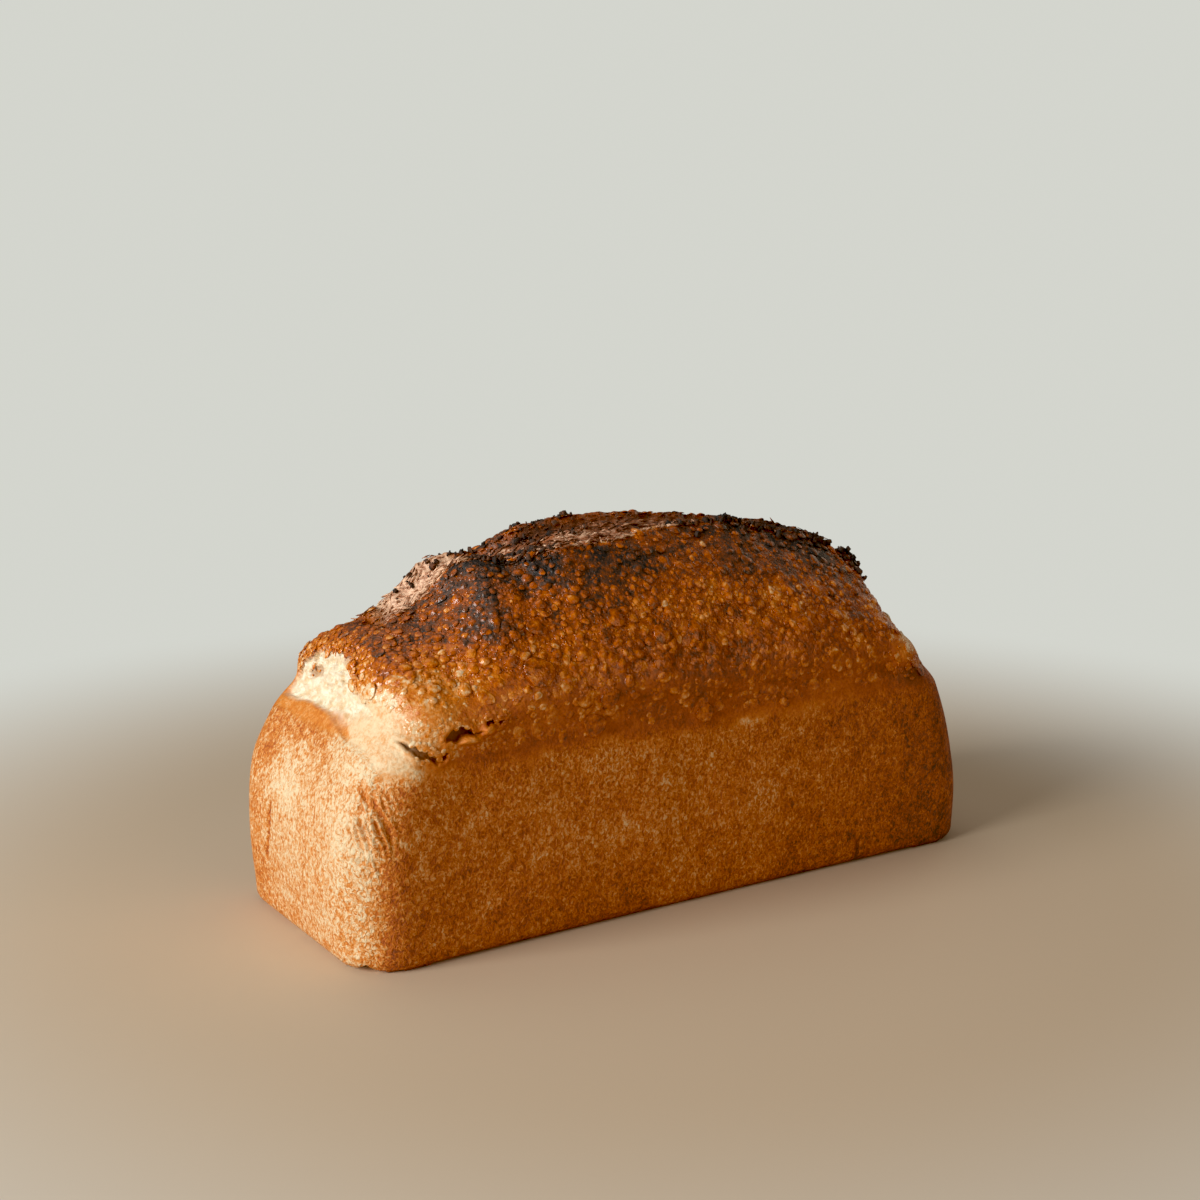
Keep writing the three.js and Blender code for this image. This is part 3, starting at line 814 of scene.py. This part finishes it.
def dome_template(sides, rings):
    """A soft dome of radius and height 1, closed below."""
    bpy.ops.mesh.primitive_uv_sphere_add(segments=sides, ring_count=rings * 2, radius=1)
    ball = bpy.context.object
    bpy.ops.object.mode_set(mode="EDIT")
    bpy.ops.mesh.select_all(action="SELECT")
    bpy.ops.mesh.bisect(plane_co=(0, 0, -0.05), plane_no=(0, 0, 1), clear_inner=True, use_fill=True)
    bpy.ops.mesh.select_all(action="SELECT")
    bpy.ops.mesh.normals_make_consistent(inside=False)
    bpy.ops.object.mode_set(mode="OBJECT")
    dome = read_points(ball)
    q = np.hypot(dome[:, 0], dome[:, 1])
    upper = dome[:, 2] > -0.02
    dome[upper, 2] = (1 - np.clip(q[upper], 0, 1) ** 2.6) ** 1.5
    dome[~upper, 2] = -0.35
    polys = [list(f.vertices) for f in ball.data.polygons]
    bpy.data.objects.remove(ball)
    return dome, polys


def frame_at(normal):
    """Axes for a copy: along the loaf where the skin allows, across, and out."""
    side = np.array((1.0, 0, 0)) if abs(normal[0]) < 0.85 else np.array((0, 1.0, 0))
    side -= normal * (side @ normal)
    side /= np.linalg.norm(side)
    return np.stack([side, np.cross(normal, side), normal])


def scatter(name, template, spots, bumpy=0.0):
    """One mesh of copies. Each spot is (place mm, normal, turn, scale xyz, marks)."""
    base, polys = template
    verts, polygons, extra = [], [], {}
    count = 0
    for place, normal, turn, size, mark in spots:
        around = np.arctan2(base[:, 1], base[:, 0])
        uneven = 1 + 0.10 * np.sin(2 * around + turn * 3) + 0.08 * np.sin(3 * around + turn * 7)
        q = base * size
        q[:, :2] *= uneven[:, None]
        c, s = math.cos(turn), math.sin(turn)
        q = np.stack([q[:, 0] * c - q[:, 1] * s, q[:, 0] * s + q[:, 1] * c, q[:, 2]], 1)
        verts.append(q @ frame_at(normal) + place)
        polygons.extend([[k + count for k in f] for f in polys])
        count += len(base)
        for key, value in mark.items():
            extra.setdefault(key, []).append(np.broadcast_to(value, len(base)))
    verts = np.concatenate(verts)
    if bumpy:
        verts += bumpy * np.stack([noise(*verts.T, 1.1, 60 + k) for k in range(3)], 1)
    mesh = bpy.data.meshes.new(name)
    mesh.from_pydata((verts * MM).tolist(), [], polygons)
    obj = bpy.data.objects.new(name, mesh)
    bpy.context.scene.collection.objects.link(obj)
    mesh.polygons.foreach_set("use_smooth", [True] * len(mesh.polygons))
    for key, values in extra.items():
        store(obj, key, np.concatenate(values))
    print(name, len(spots), "copies,", sum(len(f) - 2 for f in polygons), "triangles")
    return obj


def blister_spots(template, low, high):
    """Spots for the blisters with a radius from low to high, each with its own browning."""
    base = template[0]
    q = np.clip(np.hypot(base[:, 0], base[:, 1]), 0, 1)
    spots = []
    for n, r, height, kind in placed:
        if not low <= r < high:
            continue
        tone = bake_and_shade[n] + 0.3 * marks["lip"][n]
        lift = PALER[kind] * draw.uniform(0.5, 1.2) * (0.25 + 1.25 * tone)
        lift *= 0.75 if r > 1.6 else 1
        top = 1 - q ** 3
        if kind == "pale" and r > SMALL_FROM:
            top = 0.7 * (1 - q ** 4) + 0.5 * bell(q - 0.7, 0.2)
        if kind in ("ring", "flat"):
            top = 0.5 * (1 - q ** 4) + 1.0 * bell(q - 0.78, 0.16)
        turn = draw.uniform(0, FULL_TURN)
        size = np.array((r * draw.uniform(0.95, 1.2), r * draw.uniform(0.85, 1.0), height))
        browned = np.clip(tone + (0.0 if kind == "flat" else 0.04) - lift * top, LEAST_BAKED, 1)
        spots.append((points[n] - out[n] * 0.12, out[n], turn, size,
                      scattered_marks(browned, dome=1.35)))
    return spots


def blisters(name, template, low, high, bumpy):
    return scatter(name, template, blister_spots(template, low, high), bumpy)


fine_dome, plain_dome, tiny_dome = dome_template(14, 4), dome_template(10, 3), dome_template(8, 2)
large_blisters = blisters("large_blisters", fine_dome, LARGE_FROM, 9, 0.10)
small_blisters = blisters("small_blisters", plain_dome, SMALL_FROM, LARGE_FROM, 0.08)
tiny_blisters = blisters("tiny_blisters", tiny_dome, 0, SMALL_FROM, 0.04)

# %% [markdown]
# The crest burnt to crumbly char. We scatter small uneven lumps where the crags
# are thickest, partly sunk, so that the outline breaks up as the real one does.

# %% Char crumbs
CRUMB_COUNT = 1700


def lump_template():
    bpy.ops.mesh.primitive_ico_sphere_add(subdivisions=2, radius=1)
    ball = bpy.context.object
    lump = read_points(ball)
    lump *= (1 + 0.5 * noise(*(lump * 2.2).T, 1.0, 70))[:, None]
    polys = [list(f.vertices) for f in ball.data.polygons]
    bpy.data.objects.remove(ball)
    return lump, polys


x, y, z = skin.T
across = y - curve(LIP, x)
lip_char = bell(across + 0.5, 1.8) * smooth((x + 66) / 6) * smooth((-34 - x) / 8)
lip_char = lip_char * smooth((z - 90) / 4)
back_char = bell(across - 19, 5) * (0.25 + 0.75 * smooth((x + 60) / 8))
back_char = back_char * smooth((x + 84) / 10) * smooth((-14 - x) / 10) * (z > 96)
right_char = bell(across - 4, 5) * smooth((x - 5) / 30) * smooth((103 - x) / 5) * (z > 88)
weight = lip_char + 1.3 * back_char + 1.3 * right_char
weight = weight * np.clip(0.6 + noise(x, y, z, 6, 71), 0.05, 2)
chosen = draw.choice(len(skin), CRUMB_COUNT, p=weight / weight.sum(), replace=False)
spots = []
for n in chosen:
    r = 0.28 + 0.95 * draw.random() ** 2.4
    turn = draw.uniform(0, FULL_TURN)
    size = r * draw.uniform(0.6, 1.35, 3)
    spots.append((points[n] + out[n] * r * 0.2, out[n], turn, size,
                  scattered_marks(draw.uniform(0.84, 1.0), dome=0.2)))
crumbs = scatter("char_crumbs", lump_template(), spots, 0.4)

# %% [markdown]
# In the gap of the score the dough tore into strings. Each is a thin bent sliver
# lying roughly along the loaf, some lighter than the crust there, some darker.

# %% Torn strings
STRING_COUNT = 2600


def sliver_template():
    bpy.ops.mesh.primitive_cube_add(size=2)
    bar = bpy.context.object
    bpy.ops.object.mode_set(mode="EDIT")
    bpy.ops.mesh.select_all(action="SELECT")
    bpy.ops.mesh.subdivide(number_cuts=1)
    bpy.ops.object.mode_set(mode="OBJECT")
    sliver = read_points(bar)
    taper = 1 - 0.7 * np.abs(sliver[:, 0]) ** 2
    sliver[:, 1:] *= taper[:, None]
    sliver[:, 2] += 0.6 * (1 - sliver[:, 0] ** 2)
    polys = [list(f.vertices) for f in bar.data.polygons]
    bpy.data.objects.remove(bar)
    return sliver, polys


weight = marks["torn"] * (0.5 + np.clip(noise(x, y, z, 5, 72), 0, 1))
on_lip = 0.3 * bell(across + 0.2, 1.0) * smooth((x + 50) / 8) * smooth((70 - x) / 20) * (z > 90)
edge_flakes = 0.5 * lip_char + on_lip
weight = weight + edge_flakes + 0.10 * marks["rim"]
chosen = draw.choice(len(skin), STRING_COUNT, p=weight / weight.sum(), replace=False)
spots = []
for n in chosen:
    rim = marks["rim"][n]
    half_length = draw.uniform(0.8, 2.8) * (1 - 0.6 * rim)
    lean = out[n] + 0.22 * draw.normal(size=3)
    lean /= np.linalg.norm(lean)
    turn = draw.normal() * (0.35 + 1.2 * rim)
    place = points[n] + out[n] * draw.uniform(-0.15, 0.3)
    size = np.array((half_length, draw.uniform(0.16, 0.5), draw.uniform(0.10, 0.3)))
    browned = np.clip(bake_and_shade[n] + draw.uniform(-0.25, 0.25) * (1 - 0.6 * rim), 0.03, 1)
    spots.append((place, lean, turn, size, scattered_marks(browned, torn=float(rim < 0.2))))
strings = scatter("torn_strings", sliver_template(), spots, 0.3)

# %% [markdown]
# One finish serves the whole crust. A colour ramp turns the stored value, browning with some
# painted light and shade, into crust colours, fine noise breaks it up, and bump adds the pores of
# the tin wall and the grain of the dome. A dark colour is painted shade inside the tears and the
# hollow under the flap. The dome is glossier than the wall, and burnt crust is dull.

# %% Crust finish
# baked value, with its painted light and shade, and colour
RAMP = [(0.00, (0.81, 0.68, 0.44)), (0.14, (0.79, 0.58, 0.34)), (0.26, (0.71, 0.35, 0.12)),
        (0.36, (0.62, 0.205, 0.018)), (0.46, (0.52, 0.135, 0.007)), (0.60, (0.37, 0.080, 0.007)),
        (0.75, (0.19, 0.052, 0.011)), (0.88, (0.082, 0.035, 0.017)), (1.0, (0.018, 0.014, 0.013))]
TORN_LIGHT, TORN_BROWN, TORN_BURNT = (0.85, 0.57, 0.38), (0.30, 0.095, 0.030), (0.03, 0.014, 0.009)
CRUMB_DULL, CRUMB_LIGHT = (0.72, 0.54, 0.32), (0.85, 0.78, 0.61)
# the colour of the painted shade in the tears and the hollow
HOLLOW_SHADE = (0.17, 0.066, 0.020)
GLOSS, BUMP_STRENGTH, BUMP_MM = 0.6, 0.7, 1.0


def crust_finish():
    """One material for every piece, from the values stored on its points."""
    mat = bpy.data.materials.new("baked_crust")
    mat.use_nodes = True
    nodes, links = mat.node_tree.nodes, mat.node_tree.links
    bsdf = nodes["Principled BSDF"]
    bsdf.inputs["Specular IOR Level"].default_value = GLOSS
    coords = nodes.new("ShaderNodeTexCoord")

    def attribute(name):
        a = nodes.new("ShaderNodeAttribute")
        a.attribute_name = name
        return a.outputs["Fac"]

    def sums(kind, a, b, clamp=False):
        """A sum of two numbers or sockets. The kind says which."""
        m = nodes.new("ShaderNodeMath")
        m.operation, m.use_clamp = kind, clamp
        for socket, value in zip(m.inputs, (a, b)):
            if isinstance(value, (int, float)):
                socket.default_value = value
            else:
                links.new(value, socket)
        return m.outputs[0]

    def grain(scale, detail=3, coarse=0.55, twist=0.0, stretch=(1, 1, 1)):
        """Noise in the loaf's own coordinates."""
        t = nodes.new("ShaderNodeTexNoise")
        squeeze = nodes.new("ShaderNodeVectorMath")
        squeeze.operation = "MULTIPLY"
        squeeze.inputs[1].default_value = stretch
        links.new(coords.outputs["Object"], squeeze.inputs[0])
        t.inputs["Scale"].default_value = scale
        t.inputs["Detail"].default_value = detail
        t.inputs["Roughness"].default_value = coarse
        t.inputs["Distortion"].default_value = twist
        links.new(squeeze.outputs[0], t.inputs["Vector"])
        return t.outputs["Fac"]

    def spread(value, low, high, to_low=0.0, to_high=1.0):
        m = nodes.new("ShaderNodeMapRange")
        links.new(value, m.inputs["Value"])
        names = ("From Min", "From Max", "To Min", "To Max")
        for key, v in zip(names, (low, high, to_low, to_high)):
            m.inputs[key].default_value = v
        return m.outputs[0]

    def bubbles(scale, share):
        """Round spots, 1 at the middle of a cell, in that share of the cells."""
        t = nodes.new("ShaderNodeTexVoronoi")
        t.inputs["Scale"].default_value = scale
        links.new(coords.outputs["Object"], t.inputs["Vector"])
        lucky = sums("LESS_THAN", t.outputs["Color"], share)
        return sums("MULTIPLY", spread(t.outputs["Distance"], 0.42, 0.12), lucky)

    bake_and_shade_, dome_, torn_ = attribute("bake_and_shade"), attribute("dome"), attribute("torn")
    fine, mid, worm = grain(900, 2), grain(260, 4), grain(940, 2, 0.6, 0.9, (1, 1, 0.8))
    tin_ = attribute("tin")
    spots_ = sums("MAXIMUM", bubbles(560, 0.5), bubbles(1000, 0.55))
    spots_ = sums("MULTIPLY", spots_, attribute("bubble"))
    mottled = sums("ADD", bake_and_shade_, spread(fine, 0.3, 0.7, -0.06, 0.06))
    mottled = sums("ADD", mottled, spread(mid, 0.3, 0.7, -0.07, 0.07))
    specked = sums("ADD", sums("MULTIPLY", tin_, 0.85), 0.15)
    speck = sums("MULTIPLY", spread(worm, 0.35, 0.65, 0.18, -0.15), specked)
    mottled = sums("ADD", mottled, speck)
    blotch = sums("MULTIPLY", spread(grain(420, 3, 0.6), 0.35, 0.65, -0.12, 0.12), dome_)
    mottled = sums("ADD", mottled, blotch)
    pits = sums("MULTIPLY", bubbles(760, 0.012), tin_)
    mottled = sums("ADD", mottled, sums("MULTIPLY", pits, 0.4))
    mottled = sums("ADD", mottled, sums("MULTIPLY", spots_, -0.16), True)
    ramp = nodes.new("ShaderNodeValToRGB")
    while len(ramp.color_ramp.elements) < len(RAMP):
        ramp.color_ramp.elements.new(0.5)
    for e, (at, colour) in zip(ramp.color_ramp.elements, RAMP):
        e.position = at
        e.color = (*colour, 1)
    links.new(mottled, ramp.inputs[0])

    def mix(fac, a, b):
        m = nodes.new("ShaderNodeMix")
        m.data_type = "RGBA"
        links.new(fac, m.inputs[0])
        for socket, value in ((m.inputs[6], a), (m.inputs[7], b)):
            if isinstance(value, tuple):
                socket.default_value = (*value, 1)
            else:
                links.new(value, socket)
        return m.outputs[2]

    streaks = spread(grain(800, 3, 0.6, 0, (0.3, 1, 1)), 0.34, 0.66, 0.34, -0.36)
    torn_tone = sums("ADD", bake_and_shade_, streaks, True)
    light_part = mix(spread(torn_tone, 0, 0.5), TORN_LIGHT, TORN_BROWN)
    torn_colour = mix(spread(torn_tone, 0.5, 1), light_part, TORN_BURNT)
    colour = mix(torn_, ramp.outputs[0], torn_colour)
    crumb = mix(spread(grain(420, 4), 0.36, 0.60), CRUMB_DULL, CRUMB_LIGHT)
    colour = mix(attribute("dough"), colour, crumb)
    # painted shade inside the tears and the hollow under the flap
    colour = mix(attribute("hole"), colour, HOLLOW_SHADE)
    links.new(colour, bsdf.inputs["Base Color"])
    shine = sums("SUBTRACT", 0.62, sums("MULTIPLY", dome_, 0.36))
    shine = sums("ADD", shine, spread(mid, 0.3, 0.7, -0.10, 0.12))
    shine = sums("ADD", shine, spread(bake_and_shade_, 0.66, 0.9, 0.0, 0.28))
    links.new(shine, bsdf.inputs["Roughness"])
    pores = sums("MULTIPLY", sums("MULTIPLY", worm, 1.2), tin_)
    height = sums("ADD", pores, sums("MULTIPLY", fine, 0.5))
    height = sums("ADD", height, sums("MULTIPLY", spots_, 0.7))
    bump = nodes.new("ShaderNodeBump")
    bump.inputs["Strength"].default_value = BUMP_STRENGTH
    bump.inputs["Distance"].default_value = BUMP_MM * MM
    links.new(height, bump.inputs["Height"])
    links.new(bump.outputs[0], bsdf.inputs["Normal"])
    return mat


finish = crust_finish()
for piece in (crust, large_blisters, small_blisters, tiny_blisters, crumbs, strings):
    piece.data.materials.clear()
    piece.data.materials.append(finish)
    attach(piece, "root")
crust.data.polygons.foreach_set("use_smooth", [True] * len(crust.data.polygons))
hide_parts("loaf")
